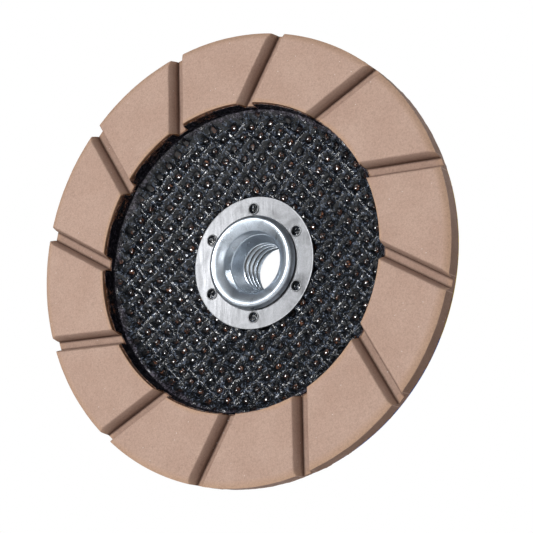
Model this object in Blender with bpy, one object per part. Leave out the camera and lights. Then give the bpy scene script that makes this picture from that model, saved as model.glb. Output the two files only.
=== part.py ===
"""Ceramic-bond edge grinding wheel for an angle grinder, with a threaded steel hub.

Frame: metres, +Z up. The wheel spins about Y. The origin is on the spin axis, at the hub's back end,
where the spindle enters. The working face looks towards -Y and the hub stands towards +Y.
Depths are measured from the flat working face towards the hub.
"""

import math

import bmesh
import bpy

MM = 0.001

# Driving dimensions, in millimetres.
WHEEL_RADIUS = 62.5
RING_BORE_RADIUS = 42.8
RING_THICKNESS = 5.7
EDGE_BEVEL_WIDTH = 1.8
EDGE_BEVEL_DROP = 1.0

GROOVE_COUNT = 12
GROOVE_OFFSET = 18.35        # from the spin axis to the groove's centre line
GROOVE_PHASE = -28.7         # degrees from +X, seen from the working side
GROOVE_TOP_HALF_WIDTH = 2.3
GROOVE_FLOOR_HALF_WIDTH = 1.2
GROOVE_DEPTH = 4.0

HUB_LENGTH = 27.5            # from the working face to the hub's back end
LAYER_GAP = 0.1              # between the bonded layers at the rim
METAL_GAP = 0.2              # between the clamped metal pieces and the backing

BACKING_RADIUS = 62.2
BACKING_HOLE_RADIUS = 11.5
BACKING_RIM_THICKNESS = 0.95
BACKING_FLOOR_THICKNESS = 1.6
BACKING_LIP_DEPTH = 1.3      # the resin-soaked lip climbs the ring's bore to this depth
BACKING_LIP_THICKNESS = 0.6
FLOOR_FOOT_RADIUS = 39.2
FLOOR_FOOT_DEPTH = 7.8
FLOOR_CREASE_RADIUS = 34.0
FLOOR_CREASE_DEPTH = 8.1
FLOOR_SEAT_RADIUS = 20.0
FLOOR_SEAT_DEPTH = 11.25
STEP_RADIUS = 42.2           # the step on the back, at the label
PLY_SPANS = ((0.0, 0.27), (0.37, 0.63), (0.73, 1.0))   # shares of the backing's thickness

BOND_THICKNESS = 0.15
LABEL_THICKNESS = 0.15
LABEL_BORE_RADIUS = 42.5

PLATE_RADIUS = 40.5
PLATE_BAND_RADIUS = 34.5
PLATE_CROWN_RADIUS = 23.6
PLATE_THICKNESS = 1.0

WASHER_RADIUS = 18.5
WASHER_BORE_RADIUS = 11.25
WASHER_THICKNESS = 1.0
WASHER_HOLE_COUNT = 6
WASHER_HOLE_RADIUS = 1.35
WASHER_HOLE_CIRCLE_RADIUS = 15.2
WASHER_HOLE_PHASE = 29.9     # degrees from +X, seen from the working side

BARREL_RADIUS = 11.0
LIP_RADIUS = 13.2
LIP_HEIGHT = 2.1
MOUTH_RADIUS = 8.75
MOUTH_DEPTH = 13.0           # depth where the wide mouth ends
THREAD_DEPTH = 17.0          # depth where the cone below the mouth ends and the thread starts
THREAD_MINOR_RADIUS = 6.75
THREAD_MAJOR_RADIUS = 7.94
FLANGE_RADIUS = 23.25
FLANGE_THICKNESS = 1.9
FLANGE_CHANNEL = (17.4, 21.2)
FLANGE_CHANNEL_DEPTH = 0.4
HEX_ACROSS_FLATS = 23.8
HEX_CROWN_RADIUS = 11.5
HEX_CHAMFER_ANGLE = 30.0

FINE_SEGMENTS = 96
SEGMENTS = 60
HOLE_SEGMENTS = 16
LIP_STEPS = 8

# Depths that follow from the stack of layers.
BOND_DEPTH = RING_THICKNESS + LAYER_GAP
BACKING_RIM_DEPTH = BOND_DEPTH + BOND_THICKNESS + LAYER_GAP
LABEL_DEPTH = BACKING_RIM_DEPTH + BACKING_RIM_THICKNESS + LAYER_GAP / 2
WASHER_DEPTH = FLOOR_SEAT_DEPTH - METAL_GAP - WASHER_THICKNESS
PLATE_LIFT = BACKING_FLOOR_THICKNESS + METAL_GAP
FLANGE_DEPTH = FLOOR_SEAT_DEPTH + PLATE_LIFT + PLATE_THICKNESS + METAL_GAP
FLANGE_BACK_DEPTH = FLANGE_DEPTH + FLANGE_THICKNESS


def material(name, colour, roughness, metallic=0.0):
    """A Principled material in the piece's own colour."""
    made = bpy.data.materials.new(name)
    made.use_nodes = True
    shader = made.node_tree.nodes["Principled BSDF"]
    shader.inputs["Base Color"].default_value = (*colour, 1.0)
    shader.inputs["Roughness"].default_value = roughness
    shader.inputs["Metallic"].default_value = metallic
    return made


def place(radius, depth, degrees=0.0):
    """The world point at a radius, a depth behind the working face and an angle seen from the front."""
    turn = math.radians(degrees)
    return (
        radius * math.cos(turn) * MM,
        (depth - HUB_LENGTH) * MM,
        radius * math.sin(turn) * MM,
    )


def add_object(name, mesh_maker, made_material=None):
    """A named object from a bmesh, smooth except at its sharp edges. Without a material it is a cutter."""
    bmesh.ops.recalc_face_normals(mesh_maker, faces=mesh_maker.faces)
    mesh = bpy.data.meshes.new(name)
    mesh_maker.to_mesh(mesh)
    mesh_maker.free()
    mesh.shade_smooth()
    mesh.set_sharp_from_angle(angle=math.radians(30.0))
    made = bpy.data.objects.new(name, mesh)
    bpy.context.scene.collection.objects.link(made)
    if made_material is None:
        made.hide_render = True
        made.display_type = "WIRE"
    else:
        mesh.materials.append(made_material)
    return made


def turned(outline, segments=SEGMENTS):
    """A bmesh of a closed (radius, depth) outline spun about the wheel's axis."""
    shape = bmesh.new()
    points = [shape.verts.new(place(radius, depth)) for radius, depth in outline]
    edges = [shape.edges.new((a, b)) for a, b in zip(points, points[1:] + points[:1])]
    bmesh.ops.spin(
        shape,
        geom=points + edges,
        cent=(0.0, 0.0, 0.0),
        axis=(0.0, 1.0, 0.0),
        angle=2.0 * math.pi,
        steps=segments,
        use_merge=True,
    )
    bmesh.ops.remove_doubles(shape, verts=shape.verts, dist=1e-7)
    return shape


def prism(shape, front, back):
    """Adds a closed prism between two matching loops of world points to a bmesh."""
    loops = [[shape.verts.new(point) for point in loop] for loop in (front, back)]
    shape.faces.new(loops[0])
    shape.faces.new(reversed(loops[1]))
    for i in range(len(front)):
        j = (i + 1) % len(front)
        shape.faces.new((loops[0][j], loops[0][i], loops[1][i], loops[1][j]))


def boolean(target, operation, tool):
    """Adds an exact Boolean to an object."""
    modifier = target.modifiers.new(operation.lower(), "BOOLEAN")
    modifier.solver = "EXACT"
    modifier.operation = operation
    modifier.object = tool


def mix(low, high, share):
    return low + (high - low) * share


def groove_cutter():
    """One trapezoid bar for each skewed groove. A bar lies parallel to its radius, offset to one side."""
    shape = bmesh.new()
    over = 1.0
    widen = (GROOVE_TOP_HALF_WIDTH - GROOVE_FLOOR_HALF_WIDTH) / GROOVE_DEPTH
    section = (
        (-GROOVE_TOP_HALF_WIDTH - widen * over, -over),
        (-GROOVE_FLOOR_HALF_WIDTH, GROOVE_DEPTH),
        (GROOVE_FLOOR_HALF_WIDTH, GROOVE_DEPTH),
        (GROOVE_TOP_HALF_WIDTH + widen * over, -over),
    )
    for i in range(GROOVE_COUNT):
        turn = GROOVE_PHASE + i * 360.0 / GROOVE_COUNT
        ends = []
        for along in (RING_BORE_RADIUS - 10.0, WHEEL_RADIUS + 3.0):
            loop = []
            for side, depth in section:
                across = GROOVE_OFFSET + side
                angle = turn + math.degrees(math.atan2(across, along))
                loop.append(place(math.hypot(along, across), depth, angle))
            ends.append(loop)
        prism(shape, *ends)
    return add_object("groove_cutter", shape)


def ceramic_ring(grooves):
    """The abrasive ring, with a worn bevel round its outer edge and skewed grooves across its face."""
    outline = (
        (RING_BORE_RADIUS, 0.0),
        (WHEEL_RADIUS - EDGE_BEVEL_WIDTH, 0.0),
        (WHEEL_RADIUS, EDGE_BEVEL_DROP),
        (WHEEL_RADIUS, RING_THICKNESS),
        (RING_BORE_RADIUS, RING_THICKNESS),
    )
    ring = add_object("ceramic_ring", turned(outline, FINE_SEGMENTS), material("ceramic", (0.52, 0.36, 0.28), 0.85))
    boolean(ring, "DIFFERENCE", grooves)


def resin_bond_layer():
    """The resin that bonds the ring to its backing."""
    back = BOND_DEPTH + BOND_THICKNESS
    outline = (
        (RING_BORE_RADIUS + METAL_GAP, BOND_DEPTH),
        (BACKING_RADIUS, BOND_DEPTH),
        (BACKING_RADIUS, back),
        (RING_BORE_RADIUS + METAL_GAP, back),
    )
    add_object("resin_bond_layer", turned(outline), material("bond_resin", (0.42, 0.17, 0.06), 0.6))


def backing_surface(share):
    """The backing's surface from its rim to its hole, at a share of its thickness from the front."""
    drop = BACKING_FLOOR_THICKNESS * share
    return [
        (BACKING_RADIUS, BACKING_RIM_DEPTH + BACKING_RIM_THICKNESS * share),
        (mix(STEP_RADIUS - 0.4, STEP_RADIUS, share), BACKING_RIM_DEPTH + BACKING_RIM_THICKNESS * share),
        (mix(FLOOR_FOOT_RADIUS, PLATE_RADIUS + 0.7, share), FLOOR_FOOT_DEPTH + drop),
        (FLOOR_CREASE_RADIUS, FLOOR_CREASE_DEPTH + drop),
        (FLOOR_SEAT_RADIUS, FLOOR_SEAT_DEPTH + drop),
        (BACKING_HOLE_RADIUS, FLOOR_SEAT_DEPTH + drop),
    ]


def cloth_plies(grooves):
    """Three layers of resin-soaked glass cloth. The front one has a lip that climbs the ring's bore and
    stops at each groove's floor."""
    lip_radius = RING_BORE_RADIUS - METAL_GAP
    lip_foot_depth = BACKING_RIM_DEPTH - 0.6
    for name, (front, back) in zip(("front_cloth_ply", "core_cloth_ply", "rear_cloth_ply"), PLY_SPANS):
        outline = backing_surface(front)
        if front == 0.0:
            outline[1:2] = [
                (lip_radius, BACKING_RIM_DEPTH),
                (lip_radius, BACKING_LIP_DEPTH),
                (lip_radius - BACKING_LIP_THICKNESS, BACKING_LIP_DEPTH),
                (lip_radius - BACKING_LIP_THICKNESS, lip_foot_depth),
            ]
        outline += reversed(backing_surface(back))
        ply = add_object(name, turned(outline), material(name + "_resin", (0.02, 0.02, 0.03), 0.3))
        if front == 0.0:
            boolean(ply, "DIFFERENCE", grooves)


def paper_label():
    """The printed paper ring glued to the back of the rim."""
    back = LABEL_DEPTH + LABEL_THICKNESS
    outline = (
        (LABEL_BORE_RADIUS, LABEL_DEPTH),
        (BACKING_RADIUS, LABEL_DEPTH),
        (BACKING_RADIUS, back),
        (LABEL_BORE_RADIUS, back),
    )
    add_object("paper_label", turned(outline), material("label_paper", (0.85, 0.72, 0.15), 0.5))


def rear_plate():
    """The pressed steel dish that backs the wheel: a flat band round its rim, then a rise to the hub."""
    front = (
        (PLATE_RADIUS, FLOOR_FOOT_DEPTH + PLATE_LIFT),
        (PLATE_BAND_RADIUS, FLOOR_CREASE_DEPTH + PLATE_LIFT),
        (PLATE_CROWN_RADIUS - 2.6, FLOOR_SEAT_DEPTH + PLATE_LIFT),
        (BACKING_HOLE_RADIUS, FLOOR_SEAT_DEPTH + PLATE_LIFT),
    )
    back = (
        (BACKING_HOLE_RADIUS, FLOOR_SEAT_DEPTH + PLATE_LIFT + PLATE_THICKNESS),
        (PLATE_CROWN_RADIUS - 2.2, FLOOR_SEAT_DEPTH + PLATE_LIFT + PLATE_THICKNESS),
        (PLATE_CROWN_RADIUS + 2.0, FLOOR_SEAT_DEPTH + PLATE_LIFT + PLATE_THICKNESS - 0.7),
        (PLATE_BAND_RADIUS, FLOOR_CREASE_DEPTH + PLATE_LIFT + PLATE_THICKNESS),
        (PLATE_RADIUS - 0.4, FLOOR_FOOT_DEPTH + PLATE_LIFT + PLATE_THICKNESS),
        (PLATE_RADIUS, FLOOR_FOOT_DEPTH + PLATE_LIFT + PLATE_THICKNESS - 0.4),
    )
    add_object("rear_plate", turned(front + back), material("plate_zinc", (0.62, 0.65, 0.66), 0.35, 1.0))


def front_washer():
    """The flat steel ring under the rolled lip, with six holes."""
    back = WASHER_DEPTH + WASHER_THICKNESS
    outline = (
        (WASHER_BORE_RADIUS, WASHER_DEPTH),
        (WASHER_RADIUS, WASHER_DEPTH),
        (WASHER_RADIUS, back),
        (WASHER_BORE_RADIUS, back),
    )
    washer = add_object("front_washer", turned(outline), material("washer_steel", (0.7, 0.71, 0.72), 0.4, 1.0))

    holes = bmesh.new()
    for i in range(WASHER_HOLE_COUNT):
        turn = math.radians(WASHER_HOLE_PHASE + i * 360.0 / WASHER_HOLE_COUNT)
        centre = (WASHER_HOLE_CIRCLE_RADIUS * math.cos(turn), WASHER_HOLE_CIRCLE_RADIUS * math.sin(turn))
        loops = []
        for depth in (WASHER_DEPTH - 1.0, back + 1.0):
            loop = []
            for k in range(HOLE_SEGMENTS):
                angle = 2.0 * math.pi * k / HOLE_SEGMENTS
                across = centre[0] + WASHER_HOLE_RADIUS * math.cos(angle)
                up = centre[1] + WASHER_HOLE_RADIUS * math.sin(angle)
                loop.append((across * MM, (depth - HUB_LENGTH) * MM, up * MM))
            loops.append(loop)
        prism(holes, *loops)
    boolean(washer, "DIFFERENCE", add_object("washer_hole_cutter", holes))


def hub_core():
    """The hub without its hexagon: rolled lip, barrel, flange and a core inside the hexagon, with its bore."""
    lip_middle = (MOUTH_RADIUS + LIP_RADIUS) / 2.0
    lip_half_width = (LIP_RADIUS - MOUTH_RADIUS) / 2.0
    lip_depth = WASHER_DEPTH - METAL_GAP
    outline = []
    for k in range(LIP_STEPS + 1):
        angle = math.pi * k / LIP_STEPS
        outline.append((lip_middle - lip_half_width * math.cos(angle), lip_depth - LIP_HEIGHT * math.sin(angle)))
    outline += [
        (BARREL_RADIUS, lip_depth),
        (BARREL_RADIUS, FLANGE_DEPTH),
        (FLANGE_RADIUS, FLANGE_DEPTH),
        (FLANGE_RADIUS, FLANGE_BACK_DEPTH),
        (FLANGE_CHANNEL[1], FLANGE_BACK_DEPTH),
        (FLANGE_CHANNEL[1], FLANGE_BACK_DEPTH - FLANGE_CHANNEL_DEPTH),
        (FLANGE_CHANNEL[0], FLANGE_BACK_DEPTH - FLANGE_CHANNEL_DEPTH),
        (FLANGE_CHANNEL[0], FLANGE_BACK_DEPTH),
        (HEX_CROWN_RADIUS - 1.0, FLANGE_BACK_DEPTH),
        (HEX_CROWN_RADIUS - 1.0, HUB_LENGTH - 1.0),
        (THREAD_MINOR_RADIUS, HUB_LENGTH - 1.0),
        (THREAD_MINOR_RADIUS, THREAD_DEPTH),
        (MOUTH_RADIUS, MOUTH_DEPTH),
    ]
    return add_object("hub_core", turned(outline))


def threaded_hub():
    """The steel hub: a hexagon for a spanner, a flange, and a barrel rolled over the front washer."""
    corner = HEX_ACROSS_FLATS / 2.0 / math.cos(math.radians(30.0))
    shape = bmesh.new()
    loops = []
    for depth in (FLANGE_BACK_DEPTH - FLANGE_THICKNESS / 2.0, HUB_LENGTH):
        loops.append([place(corner, depth, 60.0 * k) for k in range(6)])
    prism(shape, *loops)
    hub = add_object("threaded_hub", shape, material("hub_zinc", (0.6, 0.62, 0.64), 0.3, 1.0))

    slope = math.tan(math.radians(HEX_CHAMFER_ANGLE))
    reach = corner + 2.0
    envelope = (
        (0.0, FLANGE_DEPTH),
        (reach, FLANGE_DEPTH),
        (reach, HUB_LENGTH - (reach - HEX_CROWN_RADIUS) * slope),
        (HEX_CROWN_RADIUS, HUB_LENGTH),
        (0.0, HUB_LENGTH),
    )
    boolean(hub, "INTERSECT", add_object("hex_chamfer_envelope", turned(envelope)))
    pocket = (
        (0.0, FLANGE_DEPTH),
        (MOUTH_RADIUS + 0.5, FLANGE_DEPTH),
        (MOUTH_RADIUS + 0.5, HUB_LENGTH - 2.0),
        (0.0, HUB_LENGTH - 2.0),
    )
    boolean(hub, "DIFFERENCE", add_object("hex_pocket_cutter", turned(pocket)))
    boolean(hub, "UNION", hub_core())

    entry = (
        (0.0, HUB_LENGTH - 3.0),
        (THREAD_MINOR_RADIUS, HUB_LENGTH - 3.0),
        (THREAD_MINOR_RADIUS, HUB_LENGTH - (THREAD_MAJOR_RADIUS - THREAD_MINOR_RADIUS)),
        (THREAD_MAJOR_RADIUS + 1.0, HUB_LENGTH + 1.0),
        (0.0, HUB_LENGTH + 1.0),
    )
    boolean(hub, "DIFFERENCE", add_object("spindle_entry_cutter", turned(entry)))


for old in list(bpy.data.objects):
    bpy.data.objects.remove(old)

groove_bars = groove_cutter()
ceramic_ring(groove_bars)
resin_bond_layer()
cloth_plies(groove_bars)
paper_label()
rear_plate()
front_washer()
threaded_hub()
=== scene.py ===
"""Looks of the ceramic edge grinding wheel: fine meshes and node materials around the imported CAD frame.

Lengths in the first part are millimetres. Depths run from the flat working face towards the hub, along +Y.
Angles are degrees from +X, seen from the working side.
"""

import math

import bmesh
import bpy
import numpy as np
from mathutils import Matrix, Vector


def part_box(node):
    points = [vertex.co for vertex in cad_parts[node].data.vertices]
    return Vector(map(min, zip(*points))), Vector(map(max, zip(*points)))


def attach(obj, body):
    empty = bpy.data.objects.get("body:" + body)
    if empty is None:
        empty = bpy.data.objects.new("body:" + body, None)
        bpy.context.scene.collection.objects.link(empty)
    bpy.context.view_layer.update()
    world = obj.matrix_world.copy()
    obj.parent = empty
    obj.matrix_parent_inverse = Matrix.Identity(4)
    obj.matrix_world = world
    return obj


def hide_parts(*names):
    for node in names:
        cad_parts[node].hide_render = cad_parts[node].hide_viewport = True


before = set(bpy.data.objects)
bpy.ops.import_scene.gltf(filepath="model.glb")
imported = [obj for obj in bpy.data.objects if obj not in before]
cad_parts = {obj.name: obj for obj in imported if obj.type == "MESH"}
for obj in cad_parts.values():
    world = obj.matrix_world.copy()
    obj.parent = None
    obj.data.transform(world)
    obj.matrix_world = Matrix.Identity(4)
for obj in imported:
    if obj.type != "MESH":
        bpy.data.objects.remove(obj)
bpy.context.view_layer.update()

MM = 0.001
ROOT = "root"
SEED = 11

RING_LOW, RING_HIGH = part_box("ceramic_ring")
FACE_Y = RING_LOW.y / MM
WHEEL_RADIUS = RING_HIGH.x / MM
RING_BORE_RADIUS = 42.8
RING_BACK = 5.75
EDGE_BEVEL_WIDTH = 1.8
EDGE_BEVEL_DROP = 1.0

GROOVE_COUNT = 12
GROOVE_PITCH = 360.0 / GROOVE_COUNT
GROOVE_OFFSET = 18.35
GROOVE_PHASE = -28.7
GROOVE_TOP_HALF_WIDTH = 2.3
GROOVE_FLOOR_HALF_WIDTH = 1.2
GROOVE_BEND_HALF_WIDTH = 1.4
GROOVE_BEND_DEPTH = 2.5
GROOVE_DEPTH = 4.0
GROOVE_EDGE_WEAR = 0.12

BACKING_RADIUS = 62.1
BACKING_FRONT = 6.05
BACKING_HOLE_RADIUS = 11.5
LIP_DEPTH = 1.35
FLOOR_FOOT = (39.2, 7.8)
FLOOR_CREASE = (34.0, 8.1)
FLOOR_SEAT = (20.0, 11.25)
CLOTH_PITCH = 4.15
CLOTH_TURN = 44.0
STRAND_RISE = 0.60
STRAND_WAVE = 0.13
FIBRE_RISE = 0.05
CLOTH_WANDER = 0.22
RESIN_LUMP = 0.10
OPENING_HALF_WIDTH = 1.2
OPENING_DROP = 0.40
POOL_CURVE = 0.13
POOL_LEAN = 0.16
WEAVE_EDGE = 40.9
LIP_CURL = 0.9

WASHER_FRONT = 10.05
WASHER_BACK = 11.05
WASHER_RADIUS = 18.5
WASHER_BORE_RADIUS = 11.3
WASHER_HOLE_COUNT = 6
WASHER_HOLE_RADIUS = 1.35
WASHER_HOLE_CIRCLE_RADIUS = 15.2
WASHER_HOLE_PHASE = 29.9

HUB_END = -FACE_Y
HUB_LIP_FRONT = 7.75
FLANGE_FRONT = 14.25
FLANGE_BACK = 16.15
FLANGE_RADIUS = 23.25
BARREL_RADIUS = 11.0
HEX_ACROSS_FLATS = 23.8
HEX_CROWN_RADIUS = 11.5
THREAD_PITCH = 25.4 / 11.0
THREAD_MAJOR_RADIUS = 7.94
THREAD_MINOR_RADIUS = 6.75
MOUTH_FRONT = 9.3
MOUTH_BACK = 13.0
THREAD_FRONT = 17.0
FLANGE_RIB_COUNT = 44

CAMERA_TARGET = (9.6, FACE_Y, -3.82)
CAMERA_DISTANCE = 485.4
CAMERA_AZIMUTH = 28.376
CAMERA_ELEVATION = -11.485
CAMERA_LENS = 122.8

STUDIO_FLOOR_DEPTH = 240.0
STUDIO_FLOOR_HALF_SIZE = 6000.0
WORLD_STRENGTH = 0.34

# Each soft light is a name, a position, a diameter and a power in watts.
SOFT_LIGHTS = (
    ("key", (-205.0, -806.0, 175.0), 150.0, 3.8),
    ("side_fill", (480.0, -600.0, -80.0), 300.0, 0.6),
    ("back_key", (300.0, 560.0, 420.0), 260.0, 3.4),
    ("back_fill", (-380.0, 480.0, 120.0), 260.0, 0.9),
    ("bore_card", (-300.0, 560.0, -150.0), 340.0, 1.8),
)

# Small weak lights that make the glints in the resin.
GLINT_POSITIONS = (
    (-330.0, -620.0, -130.0), (80.0, -700.0, 120.0), (-120.0, -760.0, -160.0), (-520.0, -540.0, 60.0),
    (420.0, 500.0, 260.0), (-60.0, 640.0, 240.0),
)
GLINT_SIZE = 32.0
GLINT_POWER = 0.15


# ---------------------------------------------------------------- geometry helpers

def lattice_noise(x, y, seed, size=256):
    """Smooth value noise in [-1, 1] at points given in lattice units. It repeats every size cells."""
    values = np.random.default_rng(SEED + seed).uniform(-1.0, 1.0, (size, size))
    x0 = np.floor(x).astype(int)
    y0 = np.floor(y).astype(int)
    fx = x - x0
    fy = y - y0
    fx = fx * fx * (3.0 - 2.0 * fx)
    fy = fy * fy * (3.0 - 2.0 * fy)
    a = values[x0 % size, y0 % size]
    b = values[(x0 + 1) % size, y0 % size]
    c = values[x0 % size, (y0 + 1) % size]
    d = values[(x0 + 1) % size, (y0 + 1) % size]
    return (a * (1 - fx) + b * fx) * (1 - fy) + (c * (1 - fx) + d * fx) * fy


def layered_noise(x, y, cell, seed, octaves=3):
    """Several octaves of lattice noise; cell is the size of the largest cell, in millimetres."""
    total = 0.0
    for octave in range(octaves):
        share = 0.5 ** octave
        total = total + share * lattice_noise(x / (cell * share), y / (cell * share), seed + octave)
    return total


def to_world(radius, depth, degrees):
    """World coordinates, in metres, of points given by radius, depth and angle arrays."""
    turn = np.radians(degrees)
    radius, depth, turn = np.broadcast_arrays(radius, depth, turn)
    return np.stack([radius * np.cos(turn), depth + FACE_Y, radius * np.sin(turn)], -1) * MM


def finish_piece(piece, material, replaced=None, sharp=None):
    """Shades a piece, gives it its material, and ties it to the frame."""
    if sharp is not None:
        piece.data.shade_smooth()
        piece.data.set_sharp_from_angle(angle=math.radians(sharp))
    piece.data.materials.clear()
    piece.data.materials.append(material)
    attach(piece, ROOT)
    if replaced is not None:
        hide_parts(replaced)
    return piece


def new_piece(name, mesh):
    """An object in the scene that holds a mesh."""
    piece = bpy.data.objects.new(name, mesh)
    bpy.context.scene.collection.objects.link(piece)
    return piece


def piece_from(name, shape):
    """An object made from an edit mesh, with its faces turned outwards."""
    bmesh.ops.recalc_face_normals(shape, faces=shape.faces)
    mesh = bpy.data.meshes.new(name)
    shape.to_mesh(mesh)
    shape.free()
    return new_piece(name, mesh)


def join_rings(shape, lower, upper):
    """Quads between two rings of vertices."""
    for i, (low, high) in enumerate(zip(lower, upper)):
        j = (i + 1) % len(lower)
        shape.faces.new((low, lower[j], upper[j], high))


def closed_grid(name, points, attributes=None):
    """A closed mesh from rows x columns of points, where rows and columns both close on themselves."""
    rows, columns = points.shape[:2]
    index = np.arange(rows * columns).reshape(rows, columns)
    down = np.roll(index, -1, 0)
    quads = np.stack([index, down, np.roll(down, -1, 1), np.roll(index, -1, 1)], -1).reshape(-1, 4)
    mesh = bpy.data.meshes.new(name)
    mesh.vertices.add(rows * columns)
    mesh.vertices.foreach_set("co", points.astype(np.float32).ravel())
    mesh.loops.add(quads.size)
    mesh.loops.foreach_set("vertex_index", quads.astype(np.int32).ravel())
    mesh.polygons.add(len(quads))
    mesh.polygons.foreach_set("loop_start", np.arange(0, quads.size, 4, dtype=np.int32))
    mesh.update(calc_edges=True)
    mesh.validate()
    for attribute, values in (attributes or {}).items():
        held = mesh.attributes.new(attribute, "FLOAT", "POINT")
        held.data.foreach_set("value", np.broadcast_to(values, (rows, columns)).astype(np.float32).ravel())
    return new_piece(name, mesh)


def round_corners(outline, radius, steps=3):
    """A closed outline of (radius, depth) points with each corner cut back and rounded."""
    rounded = []
    count = len(outline)
    for i in range(count):
        before, corner, after = (Vector(outline[k % count]) for k in (i - 1, i, i + 1))
        cut = min(radius, (before - corner).length * 0.45, (after - corner).length * 0.45)
        start = corner + (before - corner).normalized() * cut
        end = corner + (after - corner).normalized() * cut
        for k in range(steps + 1):
            t = k / steps
            rounded.append((1 - t) ** 2 * start + 2 * t * (1 - t) * corner + t * t * end)
    return [tuple(point) for point in rounded]


def turned_piece(name, outline, columns, corner=0.15, waviness=None):
    """A turned piece from an outline that runs back, inwards, forwards and outwards."""
    points = np.array(round_corners(outline, corner))
    angles = np.arange(columns) * 360.0 / columns
    radius = np.repeat(points[:, :1], columns, 1)
    depth = np.repeat(points[:, 1:], columns, 1)
    if waviness is not None:
        radius, depth = waviness(radius, depth, angles[None, :])
    return closed_grid(name, to_world(radius, depth, angles[None, :]))


def apply_modifiers(piece):
    """Replaces a piece's mesh with its evaluated one."""
    graph = bpy.context.evaluated_depsgraph_get()
    mesh = bpy.data.meshes.new_from_object(piece.evaluated_get(graph))
    piece.modifiers.clear()
    piece.data = mesh


def boolean(piece, operation, tool):
    """Cuts or joins a piece with a tool, and removes the tool."""
    modifier = piece.modifiers.new(operation.lower(), "BOOLEAN")
    modifier.solver = "EXACT"
    modifier.operation = operation
    modifier.object = tool
    apply_modifiers(piece)
    bpy.data.objects.remove(tool)


def soften(piece, width, segments=2, angle=28.0):
    """Rounds a piece's sharp edges a little, as wear and plating do."""
    modifier = piece.modifiers.new("wear", "BEVEL")
    modifier.width = width * MM
    modifier.segments = segments
    modifier.limit_method = "ANGLE"
    modifier.angle_limit = math.radians(angle)
    apply_modifiers(piece)


# ---------------------------------------------------------------- material helpers

class Nodes:
    """Short calls for building one material's node tree."""

    def __init__(self, name):
        self.material = bpy.data.materials.new(name)
        self.material.use_nodes = True
        self.tree = self.material.node_tree
        self.shader = self.tree.nodes["Principled BSDF"]
        self.place = self.tree.nodes.new("ShaderNodeTexCoord").outputs["Object"]

    def link(self, source, socket):
        self.tree.links.new(source, socket)

    def node(self, kind, **settings):
        made = self.tree.nodes.new(kind)
        for key, value in settings.items():
            setattr(made, key, value)
        return made

    def noise(self, per_mm, detail=3.0, roughness=0.55, stretch=(1, 1, 1), distortion=0.0):
        """Noise with about per_mm features to the millimetre."""
        scaled = self.node("ShaderNodeMapping")
        scaled.inputs["Scale"].default_value = [s * per_mm * 1000.0 for s in stretch]
        self.link(self.place, scaled.inputs["Vector"])
        made = self.node("ShaderNodeTexNoise")
        made.inputs["Scale"].default_value = 1.0
        made.inputs["Detail"].default_value = detail
        made.inputs["Roughness"].default_value = roughness
        made.inputs["Distortion"].default_value = distortion
        self.link(scaled.outputs["Vector"], made.inputs["Vector"])
        return made.outputs["Fac"]

    def cells(self, per_mm):
        """Distance to the nearest of about per_mm scattered points to the millimetre."""
        scaled = self.node("ShaderNodeMapping")
        scaled.inputs["Scale"].default_value = [per_mm * 1000.0] * 3
        self.link(self.place, scaled.inputs["Vector"])
        made = self.node("ShaderNodeTexVoronoi", feature="F1")
        made.inputs["Scale"].default_value = 1.0
        self.link(scaled.outputs["Vector"], made.inputs["Vector"])
        return made.outputs["Distance"]

    def attribute(self, name):
        return self.node("ShaderNodeAttribute", attribute_name=name).outputs["Fac"]

    def ramp(self, source, *stops):
        """A colour ramp with (position, colour or grey) stops."""
        made = self.node("ShaderNodeValToRGB")
        elements = made.color_ramp.elements
        while len(elements) < len(stops):
            elements.new(0.5)
        for element, (position, colour) in zip(elements, stops):
            element.position = position
            grey = (colour, colour, colour) if isinstance(colour, (int, float)) else colour
            element.color = (*grey, 1.0)
        self.link(source, made.inputs["Fac"])
        return made.outputs["Color"]

    def math(self, operation, a, b=0.0, clamp=False):
        made = self.node("ShaderNodeMath", operation=operation, use_clamp=clamp)
        for socket, value in zip(made.inputs, (a, b)):
            if isinstance(value, (int, float)):
                socket.default_value = value
            else:
                self.link(value, socket)
        return made.outputs["Value"]

    def mix(self, share, a, b, blend="MIX"):
        made = self.node("ShaderNodeMix", data_type="RGBA", blend_type=blend, clamp_factor=True)
        for socket, value in ((made.inputs["Factor"], share), (made.inputs[6], a), (made.inputs[7], b)):
            if isinstance(value, (int, float)):
                socket.default_value = value
            elif isinstance(value, tuple):
                socket.default_value = (*value, 1.0)
            else:
                self.link(value, socket)
        return made.outputs[2]

    def bump(self, height, millimetres, strength=1.0, below=None):
        """A bump of a height in millimetres, on top of another bump if there is one."""
        made = self.node("ShaderNodeBump")
        if isinstance(strength, (int, float)):
            made.inputs["Strength"].default_value = strength
        else:
            self.link(strength, made.inputs["Strength"])
        made.inputs["Distance"].default_value = millimetres * MM
        self.link(height, made.inputs["Height"])
        if below is not None:
            self.link(below, made.inputs["Normal"])
        return made.outputs["Normal"]

    def axes(self):
        made = self.node("ShaderNodeSeparateXYZ")
        self.link(self.place, made.inputs["Vector"])
        return made.outputs["X"], made.outputs["Y"], made.outputs["Z"]

    def axis_distance(self):
        """Distance from the spin axis, in metres."""
        x, _, z = self.axes()
        return self.math("SQRT", self.math("ADD", self.math("MULTIPLY", x, x), self.math("MULTIPLY", z, z)))

    def surface(self, colour=None, roughness=None, normal=None, **values):
        for socket, source in (("Base Color", colour), ("Roughness", roughness), ("Normal", normal)):
            if source is None:
                continue
            if isinstance(source, (int, float)):
                self.shader.inputs[socket].default_value = source
            elif isinstance(source, tuple):
                self.shader.inputs[socket].default_value = (*source, 1.0)
            else:
                self.link(source, self.shader.inputs[socket])
        for socket, value in values.items():
            self.shader.inputs[socket.replace("_", " ")].default_value = value
        return self.material


# ---------------------------------------------------------------- materials

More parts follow.
